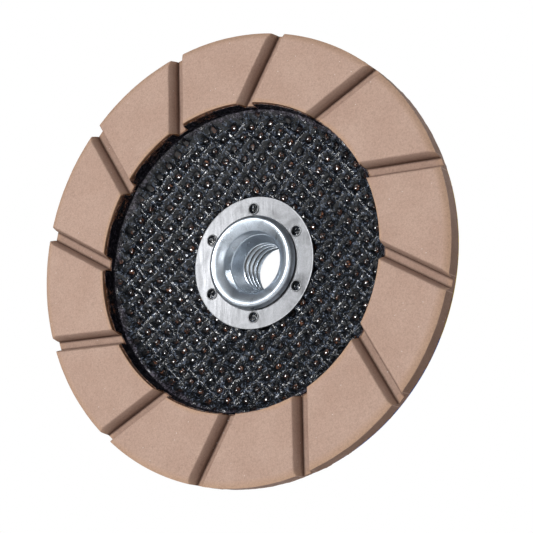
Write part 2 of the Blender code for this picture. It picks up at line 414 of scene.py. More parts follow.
def ceramic_material():
    """Dry sintered abrasive: ground tan face, browner moulded skin, fine grain, pits and bright grit, with
    painted shade in the groove corners and in the pits.
    """
    n = Nodes("ceramic")
    blotch = n.noise(0.10, 4.0)
    grain = n.noise(1.9, 4.0, 0.75)
    fine = n.noise(5.0, 2.0, 0.6)
    face = n.ramp(blotch, (0.3, (0.450, 0.302, 0.236)), (0.7, (0.496, 0.345, 0.275)))
    skin = n.ramp(blotch, (0.3, (0.205, 0.122, 0.088)), (0.7, (0.25, 0.155, 0.115)))
    face = n.mix(n.math("MULTIPLY", n.attribute("edge_tan"), 0.75), face, (0.50, 0.315, 0.205))
    colour = n.mix(n.attribute("skin"), face, skin)
    orange = n.ramp(grain, (0.35, (0.10, 0.045, 0.022)), (0.6, (0.26, 0.115, 0.05)))
    colour = n.mix(n.attribute("rust"), colour, orange)
    # Painted shade: near-black brown darkens the foot of each groove wall, standing in for the shade in the
    # groove's corner.
    colour = n.mix(n.math("MULTIPLY", n.attribute("corner_shade"), 0.8), colour, (0.075, 0.04, 0.03))
    colour = n.mix(0.6, colour, n.ramp(grain, (0.28, 0.66), (0.5, 1.0), (0.72, 1.2)), "MULTIPLY")
    colour = n.mix(0.4, colour, n.ramp(fine, (0.3, 0.75), (0.7, 1.15)), "MULTIPLY")
    # The darker brown in the pits is painted shade in the small hollows, which the bump below only suggests.
    pits = n.ramp(n.cells(0.8), (0.0, 1.0), (0.06, 1.0), (0.11, 0.0))
    colour = n.mix(n.math("MULTIPLY", pits, 0.35), colour, (0.22, 0.13, 0.09))
    grit = n.ramp(n.cells(0.38), (0.0, 1.0), (0.030, 1.0), (0.055, 0.0))
    colour = n.mix(n.math("MULTIPLY", grit, 0.75), colour, (0.86, 0.80, 0.76))
    normal = n.bump(grain, 0.06, 0.8)
    normal = n.bump(pits, -0.06, 0.7, normal)
    roughness = n.ramp(grain, (0.3, 0.95), (0.7, 0.78))
    return n.surface(colour, roughness, normal, Specular_IOR_Level=0.2)


def cloth_material():
    """Glossy black resin over woven glass: brown shows through deep in the openings and on the bare edge, and
    painted shade darkens the openings.
    """
    n = Nodes("front_cloth")
    fine = n.noise(1.3, 1.5, 0.5, distortion=0.8)
    lumps = n.noise(0.55, 2.0, 0.5, distortion=0.5)
    patch = n.noise(0.35, 3.0)
    opening = n.attribute("opening")
    pool = n.attribute("pool")

    def shades(*stops):
        return n.ramp(fine, *stops)

    strand = shades((0.42, (0.002, 0.003, 0.004)), (0.56, (0.006, 0.008, 0.013)), (0.68, (0.09, 0.11, 0.15)))
    rust = shades((0.46, (0.004, 0.003, 0.003)), (0.57, (0.05, 0.015, 0.007)), (0.70, (0.22, 0.09, 0.045)))
    band = shades((0.36, (0.008, 0.007, 0.010)), (0.53, (0.030, 0.026, 0.035)), (0.68, (0.12, 0.105, 0.135)))
    bare = shades((0.38, (0.03, 0.012, 0.008)), (0.52, (0.16, 0.06, 0.025)), (0.68, (0.34, 0.155, 0.07)))
    rusty = n.math("MULTIPLY", pool, n.ramp(patch, (0.42, 0.0), (0.56, 0.95)))
    # The openings' near-black colour is partly the black resin and partly painted shade deep in the weave.
    hole = n.mix(rusty, (0.002, 0.002, 0.003), rust)
    colour = n.mix(opening, strand, hole)
    colour = n.mix(n.attribute("band"), colour, band)
    colour = n.mix(n.ramp(n.attribute("bare"), (0.3, 0.0), (0.7, 1.0)), colour, bare)
    roughness = n.ramp(lumps, (0.35, 0.07), (0.55, 0.13), (0.7, 0.28))
    roughness = n.mix(n.math("MULTIPLY", n.attribute("band"), 0.8), roughness, (0.27, 0.27, 0.27))
    roughness = n.mix(opening, roughness, (0.07, 0.07, 0.07))
    roughness = n.mix(n.attribute("bare"), roughness, (0.65, 0.65, 0.65))
    rough_share = n.math("SUBTRACT", 1.0, n.math("MULTIPLY", opening, 0.98))
    normal = n.bump(lumps, 0.26, rough_share)
    normal = n.bump(fine, 0.17, rough_share, normal)
    # Painted shade: the wall of each opening gets almost no reflection, standing in for the shade inside it,
    # so a dark ring surrounds its shiny pool.
    wall_shade = n.math("MULTIPLY", opening, n.math("SUBTRACT", 1.0, pool))
    shine = n.math("ADD", 0.52, n.math("MULTIPLY", pool, 0.3))
    shine = n.math("SUBTRACT", shine, n.math("MULTIPLY", wall_shade, 0.48))
    n.link(shine, n.shader.inputs["Specular IOR Level"])
    return n.surface(colour, roughness, normal)


def resin_edge_material(name, dark):
    """Rough cut edge of cured resin and cloth, brown with black specks, and black within the radius dark."""
    n = Nodes(name)
    fine = n.noise(1.1, 4.0, 0.6)
    specks = n.ramp(n.noise(0.32, 3.0, 0.6), (0.56, 0.0), (0.62, 1.0))
    colour = n.ramp(fine, (0.3, (0.16, 0.065, 0.03)), (0.55, (0.33, 0.155, 0.075)), (0.8, (0.45, 0.25, 0.13)))
    colour = n.mix(specks, colour, (0.012, 0.011, 0.012))
    if dark is not None:
        inner = n.math("LESS_THAN", n.axis_distance(), dark * MM)
        black = n.ramp(fine, (0.3, (0.008, 0.008, 0.009)), (0.7, (0.022, 0.022, 0.026)))
        colour = n.mix(inner, colour, black)
    normal = n.bump(fine, 0.12, 0.8)
    return n.surface(colour, 0.6, normal)


def zinc_material(name, tint, low, high, spangle, scratch, thread_from=None):
    """Zinc-plated steel: cloudy patches, fine grain, a few marks, and painted shade in the thread roots past
    thread_from.
    """
    n = Nodes(name)
    cloud = n.noise(0.16, 5.0, 0.6, distortion=0.8)
    grain = n.noise(3.2, 3.0, 0.6)
    marks = n.noise(0.9, 4.0, 0.65, (1.0, 0.25, 0.12))
    dark = tuple(c * spangle for c in tint)
    colour = n.ramp(cloud, (0.32, dark), (0.55, tint), (0.75, tuple(min(1.0, c * 1.08) for c in tint)))
    colour = n.mix(0.5, colour, n.ramp(grain, (0.3, 0.62), (0.6, 1.05)), "MULTIPLY")
    if thread_from is not None:
        # Painted shade: the thread roots deep in the bore are darkened towards near black, standing in for
        # the shade between the thread turns.
        centimetres = n.math("MULTIPLY", n.axis_distance(), 100.0)
        root = n.ramp(centimetres, (0.675, 0.0), (0.745, 1.0), (0.80, 1.0), (0.83, 0.0))
        deep = n.math("GREATER_THAN", n.axes()[1], (thread_from + FACE_Y) * MM)
        colour = n.mix(n.math("MULTIPLY", root, deep), colour, (0.035, 0.033, 0.028))
    wear = n.math("ADD", n.math("MULTIPLY", cloud, 0.6), n.math("MULTIPLY", marks, 0.4))
    roughness = n.ramp(wear, (0.34, low), (0.62, high))
    normal = n.bump(grain, 0.015, 0.6)
    normal = n.bump(marks, scratch, 0.7, normal)
    return n.surface(colour, roughness, normal, Metallic=1.0)


def label_material():
    """Coated paper printed with three plain bands and plain rules, with nothing to read."""
    n = Nodes("label_paper")
    x, _, z = n.axes()
    side = n.math("ABSOLUTE", x)

    def above(value, limit):
        return n.math("GREATER_THAN", value, limit * MM)

    def between(value, low, high):
        return n.math("MULTIPLY", above(value, low), n.math("SUBTRACT", 1.0, above(value, high)))

    fibre = n.noise(1.5, 3.0)
    white = n.ramp(fibre, (0.3, (0.70, 0.70, 0.76)), (0.7, (0.78, 0.78, 0.84)))
    yellow = n.ramp(fibre, (0.3, (0.66, 0.47, 0.022)), (0.7, (0.72, 0.53, 0.035)))
    blue = n.ramp(fibre, (0.3, (0.018, 0.135, 0.60)), (0.7, (0.026, 0.16, 0.66)))
    colour = n.mix(above(z, -25.6), blue, yellow)
    colour = n.mix(above(z, 30.0), colour, white)

    def rules(colour, count, first, step, half_height, low, high, ink):
        share = 0.0
        for i in range(count):
            line = between(z, first - i * step - half_height, first - i * step + half_height)
            share = n.math("ADD", share, line)
        return n.mix(n.math("MULTIPLY", share, between(side, low, high)), colour, ink)

    colour = rules(colour, 4, 19.0, 11.0, 0.28, 46.5, 57.0, (0.10, 0.085, 0.02))
    colour = rules(colour, 3, -46.0, 3.0, 0.25, 0.0, 27.0, (0.42, 0.55, 0.85))
    colour = rules(colour, 1, 48.5, 1.0, 1.1, 0.0, 17.0, (0.05, 0.05, 0.06))
    normal = n.bump(fibre, 0.01, 0.4)
    return n.surface(colour, 0.42, normal, Coat_Weight=0.25, Coat_Roughness=0.2)


# ---------------------------------------------------------------- the ceramic ring

def groove_columns():
    """The columns of one sector, from one groove's centre to the next: (kind, share, side) in order."""
    floor = [("floor", t, 1) for t in (0.0, 0.5)]
    wall = [("wall", t, 1) for t in (0.0, 0.19, 0.375, 0.6, 0.95, 1.0)]
    edge = (0.012, 0.05)
    land = [("land", t, 1) for t in (*edge, *np.linspace(0.09, 0.91, 24), *(1 - e for e in reversed(edge)))]
    next_wall = [("wall", t, -1) for t in (1.0, 0.95, 0.6, 0.375, 0.19, 0.0)]
    next_floor = [("floor", 0.5, -1)]
    return floor + wall + land + next_wall + next_floor


def ceramic_ring():
    """The abrasive ring as one structured grid whose columns follow the groove edges exactly."""
    bore_rows = 7
    face_radii = np.concatenate([
        [RING_BORE_RADIUS, RING_BORE_RADIUS + 0.12],
        np.linspace(RING_BORE_RADIUS + 0.5, WHEEL_RADIUS - EDGE_BEVEL_WIDTH, 38),
        WHEEL_RADIUS - EDGE_BEVEL_WIDTH * (1 - np.array([0.25, 0.5, 0.72, 0.88, 0.97, 1.0])),
    ])
    rim_rows = 8
    back_radii = np.linspace(WHEEL_RADIUS - 0.3, RING_BORE_RADIUS + 0.3, 8)

    # Each row is (radius, depth of the land, share of the way from that depth to the back).
    rows = [(RING_BORE_RADIUS, 0.06, 1 - k / bore_rows) for k in range(bore_rows)]
    for radius in face_radii:
        out = np.clip((radius - (WHEEL_RADIUS - EDGE_BEVEL_WIDTH)) / EDGE_BEVEL_WIDTH, 0, 1)
        inner_wear = 0.06 if radius == RING_BORE_RADIUS else 0.0
        rows.append((radius, EDGE_BEVEL_DROP * out ** 1.5 + inner_wear, 0.0))
    rows += [(WHEEL_RADIUS, EDGE_BEVEL_DROP, k / rim_rows) for k in range(1, rim_rows + 1)]
    rows += [(radius, EDGE_BEVEL_DROP, 1.0) for radius in back_radii]
    radius, land, down = (np.array(values)[:, None] for values in zip(*rows))

    columns = groove_columns()
    kind = np.array([c[0] for c in columns] * GROOVE_COUNT)[None, :]
    share = np.array([c[1] for c in columns] * GROOVE_COUNT)[None, :]
    side = np.array([c[2] for c in columns] * GROOVE_COUNT)[None, :]
    sector = np.repeat(np.arange(GROOVE_COUNT), len(columns))[None, :]
    groove = sector + (side < 0)

    chips = 0.05 * lattice_noise(radius * 1.3, groove * 7.3 + side * 2.1, 1)
    bend = 1 - GROOVE_BEND_DEPTH / GROOVE_DEPTH
    widen = (GROOVE_BEND_DEPTH - land) / GROOVE_BEND_DEPTH
    top_half = GROOVE_BEND_HALF_WIDTH + (GROOVE_TOP_HALF_WIDTH - GROOVE_BEND_HALF_WIDTH) * widen + chips

    def edge_angle(half, which, direction):
        across = np.clip((GROOVE_OFFSET + direction * half) / radius, -1, 1)
        return GROOVE_PHASE + GROOVE_PITCH * which + np.degrees(np.arcsin(across))

    low_half = GROOVE_FLOOR_HALF_WIDTH + (GROOVE_BEND_HALF_WIDTH - GROOVE_FLOOR_HALF_WIDTH) * share / bend
    high_half = GROOVE_BEND_HALF_WIDTH + (top_half - GROOVE_BEND_HALF_WIDTH) * (share - bend) / (1 - bend)
    wall_half = np.where(share < bend, low_half, high_half)
    floor_angle = edge_angle(GROOVE_FLOOR_HALF_WIDTH * share, groove, side)
    wall_angle = edge_angle(wall_half, groove, side)
    land_start = edge_angle(top_half, sector, 1)
    land_end = edge_angle(top_half, sector + 1, -1)
    land_angle = land_start + (land_end - land_start) * share
    angle = np.where(kind == "floor", floor_angle, np.where(kind == "wall", wall_angle, land_angle))

    worn = land + GROOVE_EDGE_WEAR * (share > 0.999)
    wall_depth = GROOVE_DEPTH + (worn - GROOVE_DEPTH) * share
    top = np.where(kind == "floor", GROOVE_DEPTH, np.where(kind == "wall", wall_depth, land))
    x = radius * np.cos(np.radians(angle))
    z = radius * np.sin(np.radians(angle))
    ripple = 0.035 * layered_noise(x + 200, z + 200, 6.0, 20)
    ripple = ripple + 0.02 * layered_noise(x + 90, z + 90, 0.9, 24, 2)
    ripple = ripple * np.where(kind == "floor", 3.0, 1.0)
    depth = np.maximum(top + ripple, 0.0)
    depth = depth * (1 - down) + RING_BACK * down

    on_rim = (radius >= WHEEL_RADIUS - 1e-6) & (down > 0)
    rough_rim = -0.10 - 0.10 * layered_noise(angle * 1.09 + 500, depth + 40, 1.6, 30) * on_rim
    radius = radius + np.where(on_rim, rough_rim, -0.1 * (radius >= WHEEL_RADIUS - 1e-6))
    radius = np.minimum(radius, WHEEL_RADIUS - 0.01)
    on_bore = (radius <= RING_BORE_RADIUS + 1e-6) & (down > 0)
    radius = radius + np.where(on_bore, 0.08 * layered_noise(angle * 0.75 + 500, depth + 40, 1.2, 34), 0.0)

    skin = np.where(kind == "wall", 0.60 - 0.25 * share, np.where(kind == "floor", 0.22, 0.0))
    skin = np.where(on_rim | on_bore | (down >= 1.0), 1.0, skin)
    skin = np.where((kind == "wall") & (share > 0.99), 0.3, skin)
    # Painted shade for the groove corners: the lowest part of each wall, next to the floor, is marked for
    # darkening.
    corner_shade = np.where(kind == "wall", np.clip(1.25 - share / 0.28, 0, 1), 0.0) * (down == 0)
    rust = np.where(on_bore, 1.0, 0.0)
    outer_tan = np.clip(1 - (WHEEL_RADIUS - radius) / (EDGE_BEVEL_WIDTH + 0.4), 0, 1)
    stain = np.clip(0.55 + 0.5 * layered_noise(x + 400, z + 400, 9.0, 38, 3), 0.05, 2)
    inner_tan = np.clip(1.3 - (radius - RING_BORE_RADIUS) / stain, 0, 1)
    edge_tan = np.maximum(outer_tan, inner_tan) * (down == 0)
    points = to_world(radius, depth, angle)
    facts = {"skin": skin, "corner_shade": corner_shade, "rust": rust, "edge_tan": edge_tan}
    piece = closed_grid("ceramic_ring_ground", points, facts)
    return finish_piece(piece, ceramic_material(), "ceramic_ring", 34.0)


# ---------------------------------------------------------------- the backing

def floor_depth(radius):
    """The depth of the backing's front surface inside the ring, without its weave."""
    knots = [(BACKING_HOLE_RADIUS, FLOOR_SEAT[1]), FLOOR_SEAT, FLOOR_CREASE, FLOOR_FOOT, (42.2, 5.1)]
    return np.interp(radius, [k[0] for k in knots], [k[1] for k in knots])


def weave_relief(x, z, radius):
    """The height of the resin-soaked weave above the floor, and how open, pooled and filled the cloth is."""
    turn = math.radians(CLOTH_TURN)
    warp_x = x + CLOTH_WANDER * layered_noise(x + 300, z + 300, 8.0, 40, 2)
    warp_z = z + CLOTH_WANDER * layered_noise(x + 300, z + 300, 8.0, 44, 2)
    a = (warp_x * math.cos(turn) + warp_z * math.sin(turn)) / CLOTH_PITCH
    b = (-warp_x * math.sin(turn) + warp_z * math.cos(turn)) / CLOTH_PITCH
    off_a = a - np.floor(a) - 0.5
    off_b = b - np.floor(b) - 0.5
    from_a = np.abs(off_a) * CLOTH_PITCH
    from_b = np.abs(off_b) * CLOTH_PITCH
    cell = np.floor(a) * 3.7 + 200, np.floor(b) * 5.3 + 200
    size = OPENING_HALF_WIDTH * (1 + 0.16 * lattice_noise(*cell, 48))
    shore = 0.7 * layered_noise(x + 20, z + 20, 4.0, 86, 2)
    filled = np.clip((radius - WEAVE_EDGE) / 0.9 + shore, 0, 1)
    reach = (from_a ** 3.0 + from_b ** 3.0) ** (1 / 3.0) / size
    bowl = np.clip(1 - reach ** 2, 0, 1) * (1 - filled)
    half_web = CLOTH_PITCH / 2 - size
    crown_a = np.clip(1 - ((CLOTH_PITCH / 2 - from_a) / half_web) ** 2, 0, 1)
    crown_b = np.clip(1 - ((CLOTH_PITCH / 2 - from_b) / half_web) ** 2, 0, 1)
    over = np.cos(math.pi * (np.round(a) + np.round(b)))
    fibres_a = FIBRE_RISE * lattice_noise(a * 16.0 + 60, b * 1.3 + 60, 52)
    fibres_b = FIBRE_RISE * lattice_noise(b * 16.0 + 60, a * 1.3 + 60, 54)
    rise_a = crown_a ** 0.4 * (STRAND_RISE + STRAND_WAVE * over + fibres_a)
    rise_b = crown_b ** 0.4 * (STRAND_RISE - STRAND_WAVE * over + fibres_b)
    strands = np.maximum(rise_a, rise_b) * (1 - 0.45 * filled)
    lumps = RESIN_LUMP * layered_noise(x + 120, z + 120, 1.5, 60, 3)
    wall = np.clip((reach - 0.5) / 0.5, 0, 1)
    lean_a = POOL_LEAN * lattice_noise(*cell, 66)
    lean_b = POOL_LEAN * lattice_noise(*cell, 68)
    lean = np.sign(off_a) * from_a * lean_a + np.sign(off_b) * from_b * lean_b
    resin = POOL_CURVE * (from_a ** 2 + from_b ** 2) + lean
    drop = OPENING_DROP * (1 - wall ** 2 * (3 - 2 * wall)) - resin * (1 - wall)
    hollow = drop * (reach < 1) * (1 - filled)
    opening = np.clip(bowl * 2.6 - 0.1, 0, 1)
    pool = np.clip((0.68 - reach) * 6.0, 0, 1) * (1 - filled)
    return strands * (1 - bowl) - hollow + lumps * (1 - 0.97 * opening), opening, pool, filled


def front_cloth():
    """The front ply: rim under the ring, lip up the ring's bore, slope, and the open woven floor."""
    columns = 840
    angles = np.arange(columns) * 360.0 / columns
    in_groove = groove_mouth(angles, RING_BORE_RADIUS)
    ragged = 0.3 * layered_noise(angles * 0.75 + 40, 3.0, 2.5, 70)
    lip = np.where(in_groove > 0.5, GROOVE_DEPTH + 0.05, LIP_DEPTH - 0.35 + ragged)
    lip = np.clip(lip, 0.5, GROOVE_DEPTH + 0.3)

    bore = RING_BORE_RADIUS - 0.12
    foot = bore - 0.6
    wall = [(bore - 0.25 - 0.35 * (k / 7) ** 2, k / 7) for k in range(1, 8)]
    floor_radii = np.arange(foot - 0.2, 17.0, -0.255)
    hidden = [(14.0, FLOOR_SEAT[1]), (BACKING_HOLE_RADIUS, FLOOR_SEAT[1])]
    thickness = 0.57
    back = [(BACKING_HOLE_RADIUS, FLOOR_SEAT[1] + thickness), (FLOOR_SEAT[0], FLOOR_SEAT[1] + thickness),
            (FLOOR_CREASE[0], FLOOR_CREASE[1] + thickness), (FLOOR_FOOT[0] + 0.4, FLOOR_FOOT[1] + thickness),
            (42.0, BACKING_FRONT + 0.26), (BACKING_RADIUS, BACKING_FRONT + 0.26)]

    radius, depth, relief, opening, band, bare, pool = [], [], [], [], [], [], []

    def add(r, d, h=0.0, o=0.0, b=0.0, e=0.0, p=0.0):
        """Adds a row: radius, depth, relief, opening, band, bare edge and pool."""
        for store, value in zip((radius, depth, relief, opening, band, bare, pool), (r, d, h, o, b, e, p)):
            store.append(np.broadcast_to(np.asarray(value, float), (columns,)))

    rim = BACKING_RADIUS + 0.25 * layered_noise(angles * 1.09 + 40, 9.0, 2.0, 74)
    rust = np.clip(1.6 * layered_noise(angles * 0.75 + 70, 3.0, 4.6, 82, 3), -1, 1)
    add(rim, BACKING_FRONT, e=1.0)
    add(bore, BACKING_FRONT, e=1.0)
    add(bore, lip, e=0.7)
    add(bore - 0.22, lip - 0.02, e=0.5)
    for r, share in wall:
        wander = 0.07 * layered_noise(angles * 0.75 + 40, share * 6.0, 1.2, 78)
        edge = np.clip(0.7 + 0.4 * rust - share * 4, 0, 1)
        patch = np.clip(1.6 * rust - 0.8, 0, 1) * np.clip(1.5 - abs(share - 0.5) * 4, 0, 1)
        wall_depth = lip + (floor_depth(foot) - lip) * share
        # The lip wall rows are marked as opening, so they take the openings' near-black colour and the
        # painted shade of weak reflection, except on the brown patches.
        add(r + wander, wall_depth, o=1.0, b=0.2 * (1 - patch), e=edge, p=patch)
    turn = np.radians(angles)
    for r in floor_radii:
        x = r * np.cos(turn)
        z = r * np.sin(turn)
        woven, open_here, pool_here, filled = weave_relief(x, z, r)
        settle = np.clip((foot - r) / 0.8, 0, 1)
        add(r, floor_depth(r), woven * settle, open_here, filled, 0.0, pool_here)
    for r, d in hidden:
        add(r, d)
    for r, d in back:
        add(np.where(r == BACKING_RADIUS, rim, r), d, e=float(r > 50))

    radius, depth, relief = np.array(radius), np.array(depth), np.array(relief)
    curl = np.clip(1 - (RING_BORE_RADIUS - radius) / 2.6, 0, 1) * in_groove[None, :]
    inside = (radius < 42.0) & (np.arange(len(radius))[:, None] < len(radius) - len(back))
    depth = depth - relief - np.where(inside, LIP_CURL * curl, 0.0)
    points = to_world(radius, depth, angles[None, :])
    facts = {"opening": np.array(opening), "band": np.array(band), "bare": np.array(bare),
             "pool": np.array(pool)}
    piece = closed_grid("front_cloth_woven", points, facts)
    return finish_piece(piece, cloth_material(), "front_cloth_ply", 80.0)


def groove_mouth(angles, radius):
    """1 at angles inside a groove's mouth at that radius, falling to 0 beside it."""
    centre = GROOVE_PHASE + math.degrees(math.asin(GROOVE_OFFSET / radius))
    half = math.degrees(math.asin(1.0 / radius)) * 1.6
    away = np.abs((angles - centre + GROOVE_PITCH / 2) % GROOVE_PITCH - GROOVE_PITCH / 2)
    return np.clip((half * 1.35 - away) / (half * 0.35), 0, 1)


def ragged_rim(amount, seed):
    """Makes a layer's outer edge uneven, as where cured cloth has been broken off a mould."""
    def waviness(radius, depth, angles):
        outer = radius > 55.0
        wander = amount * layered_noise(angles * 1.09 + 30, depth * 2 + 30, 1.6, seed)
        return radius + np.where(outer, wander, 0.0), depth
    return waviness


def inner_layers():
    """The resin bond, the middle ply and the rear ply."""
    bond = [(62.15, 5.77), (43.0, 5.77), (43.0, 6.03), (62.15, 6.03)]
    piece = turned_piece("bond_edge", bond[::-1], 720, 0.05, ragged_rim(0.16, 100))
    finish_piece(piece, resin_edge_material("bond_resin", None), "resin_bond_layer", 60.0)

    core = [(BACKING_HOLE_RADIUS, 11.85), (20.0, 11.85), (34.0, 8.7), (39.9, 8.4), (42.0, 6.35),
            (61.95, 6.35), (61.95, 6.66), (42.1, 6.66), (40.4, 8.8), (34.0, 9.1), (20.0, 12.25),
            (BACKING_HOLE_RADIUS, 12.25)]
    piece = turned_piece("core_cloth_layer", core, 480, 0.08, ragged_rim(0.22, 104))
    finish_piece(piece, resin_edge_material("core_cloth", 44.0), "core_cloth_ply", 60.0)

    rear = [(BACKING_HOLE_RADIUS, 12.45), (20.0, 12.45), (34.0, 9.3), (40.5, 8.95), (42.05, 6.72),
            (61.9, 6.72), (61.9, 7.03), (42.5, 7.03), (42.15, 7.4), (41.75, 8.95), (41.0, 9.42),
            (34.0, 9.68), (20.0, 12.83), (BACKING_HOLE_RADIUS, 12.83)]
    piece = turned_piece("rear_cloth_layer", rear, 480, 0.35, ragged_rim(0.25, 108))
    finish_piece(piece, resin_edge_material("rear_cloth", 44.0), "rear_cloth_ply", 60.0)


def paper_label():
    """The printed ring on the back of the rim."""
    label = [(42.6, 7.05), (62.0, 7.05), (62.0, 7.19), (42.6, 7.19)]

    def lie(radius, depth, angles):
        turn = np.radians(angles)
        swell = 0.012 * layered_noise(radius * np.cos(turn) + 80, radius * np.sin(turn) + 80, 9.0, 112, 2)
        return radius, depth + np.minimum(swell, 0.0)

    piece = turned_piece("printed_label", label, 480, 0.04, lie)
    return finish_piece(piece, label_material(), "paper_label", 60.0)


# ---------------------------------------------------------------- the metal pieces

def rear_plate():
    """The pressed dish: rounded rim, flat band, a crease, then a low dome up to the hub's flange."""
    dome = [(34.2 - 11.0 * t, 10.88 + 3.1 * math.sin(t * math.pi / 2) ** 1.15) for t in np.linspace(0, 1, 14)]
    under = [(r, d - 1.0) for r, d in reversed(dome)]
    outline = [(40.35, 10.62), (39.9, 10.72), (35.0, 10.80), *dome, (22.0, 14.02),
               (BACKING_HOLE_RADIUS, 14.02), (BACKING_HOLE_RADIUS, 13.05), *under,
               (34.6, 9.9), (40.2, 9.62), (40.5, 9.75), (40.5, 10.45)]

    def dents(radius, depth, angles):
        turn = np.radians(angles)
        x = radius * np.cos(turn)
        z = radius * np.sin(turn)
        return radius, depth - 0.03 * np.abs(layered_noise(x + 60, z + 60, 8.0, 116, 3))

    piece = turned_piece("zinc_rear_plate", outline, 360, 0.25, dents)
    material = zinc_material("plate_zinc", (0.66, 0.69, 0.70), 0.22, 0.5, 0.66, 0.02)
    return finish_piece(piece, material, "rear_plate", 34.0)


def front_washer():
    """The stamped ring, dished a little, with six punched holes that each have a raised burr."""
    outline = [(WASHER_BORE_RADIUS, WASHER_FRONT + 0.45), (WASHER_BORE_RADIUS + 0.4, WASHER_FRONT + 0.425),
               (WASHER_RADIUS - 0.4, WASHER_FRONT + 0.025), (WASHER_RADIUS, WASHER_FRONT),
               (WASHER_RADIUS, WASHER_BACK), (WASHER_BORE_RADIUS, WASHER_BACK)]
    washer = turned_piece("stamped_front_washer", outline, 240, 0.12)
    holes = bmesh.new()
    for i in range(WASHER_HOLE_COUNT):
        centre = to_world(WASHER_HOLE_CIRCLE_RADIUS, WASHER_FRONT, WASHER_HOLE_PHASE + i * 60.0)
        turn = Matrix.Rotation(math.pi / 2, 4, "X")
        bmesh.ops.create_cone(
            holes, cap_ends=True, segments=40, radius1=WASHER_HOLE_RADIUS * MM,
            radius2=WASHER_HOLE_RADIUS * MM, depth=6 * MM, matrix=Matrix.Translation(centre) @ turn,
        )
    boolean(washer, "DIFFERENCE", piece_from("holes", holes))
    material = zinc_material("washer_steel", (0.255, 0.26, 0.272), 0.30, 0.50, 0.60, 0.05)
    finish_piece(washer, material, "front_washer", 34.0)

    for i in range(WASHER_HOLE_COUNT):
        burr_ring(i, material)


def burr_ring(number, material):
    """The burr a punch leaves round a washer hole."""
    across, around = 10, 48
    centre = to_world(WASHER_HOLE_CIRCLE_RADIUS, WASHER_FRONT, WASHER_HOLE_PHASE + number * 60.0) / MM
    section = np.arange(across) * 2 * math.pi / across
    sweep = np.arange(around) * 2 * math.pi / around
    reach = WASHER_HOLE_RADIUS + 0.16 + 0.17 * np.cos(section)[:, None] + 0 * sweep[None, :]
    x = centre[0] + reach * np.cos(sweep)[None, :]
    y = centre[1] + 0.02 - 0.10 * np.sin(section)[:, None] + 0 * sweep[None, :]
    z = centre[2] + reach * np.sin(sweep)[None, :]
    piece = closed_grid(f"washer_hole_burr_{number + 1}", np.stack([x, y, z], -1) * MM)
    finish_piece(piece, material, None, 60.0)


def thread_cutter():
    """A closed rod with a helical 60-degree thread, which cuts the hub's bore."""
    columns = 144
    angles = np.arange(columns) * 360.0 / columns
    depths = np.arange(THREAD_FRONT - 0.5, HUB_END + 1.2, 0.11)
    turns = (depths[:, None] / THREAD_PITCH - angles[None, :] / 360.0) % 1.0
    crest = np.clip((0.5 - np.abs(turns - 0.5)) * 2.0, 0, 1)
    profile = np.clip((crest - 0.12) / 0.72, 0, 1)
    start = np.clip((depths[:, None] - THREAD_FRONT) / 0.8, 0, 1)
    radius = THREAD_MINOR_RADIUS + (THREAD_MAJOR_RADIUS - 0.05 - THREAD_MINOR_RADIUS) * profile * start
    points = to_world(radius, depths[:, None], angles[None, :])
    shape = bmesh.new()
    grid = [[shape.verts.new(point) for point in row] for row in points]
    for lower, upper in zip(grid, grid[1:]):
        join_rings(shape, lower, upper)
    shape.faces.new(grid[0])
    shape.faces.new(reversed(grid[-1]))
    return piece_from("thread_rod", shape)


def solid_turned(name, outline, columns=180):
    """A turned tool from a (radius, depth) outline whose first and last points lie on the axis."""
    shape = bmesh.new()
    angles = np.arange(columns) * 360.0 / columns
    rings = [[shape.verts.new(p) for p in to_world(r, d, angles)] for r, d in outline[1:-1]]
    tips = [shape.verts.new(to_world(0.0, d, 0.0)) for _, d in (outline[0], outline[-1])]
    for lower, upper in zip(rings, rings[1:]):
        join_rings(shape, lower, upper)
    for ring, tip in ((rings[0], tips[0]), (rings[-1], tips[1])):
        for i in range(columns):
            shape.faces.new((ring[i], ring[(i + 1) % columns], tip))
    return piece_from(name, shape)


def hexagon_nut():
    """The hexagon with its turned crown, hollow so that it can join the turned hub round its bore."""
    corner = HEX_ACROSS_FLATS / 2.0 / math.cos(math.radians(30.0))
    shape = bmesh.new()
    ends = (FLANGE_BACK - 0.5, HUB_END)
    loops = [[shape.verts.new(to_world(corner, d, 60.0 * k)) for k in range(6)] for d in ends]
    shape.faces.new(loops[0])
    shape.faces.new(reversed(loops[1]))
    join_rings(shape, *loops)
    nut = piece_from("hexagon", shape)
    reach = corner + 2.0
    crown_depth = HUB_END - (reach - HEX_CROWN_RADIUS) * math.tan(math.radians(30.0))
    envelope = [(0.0, FLANGE_BACK - 1.0), (reach, FLANGE_BACK - 1.0), (reach, crown_depth),
                (HEX_CROWN_RADIUS, HUB_END), (0.0, HUB_END)]
    boolean(nut, "INTERSECT", solid_turned("envelope", envelope))
    pocket = [(0.0, FLANGE_FRONT), (9.4, FLANGE_FRONT), (9.4, HUB_END - 2.5), (0.0, HUB_END - 2.5)]
    boolean(nut, "DIFFERENCE", solid_turned("pocket", pocket))
    return nut


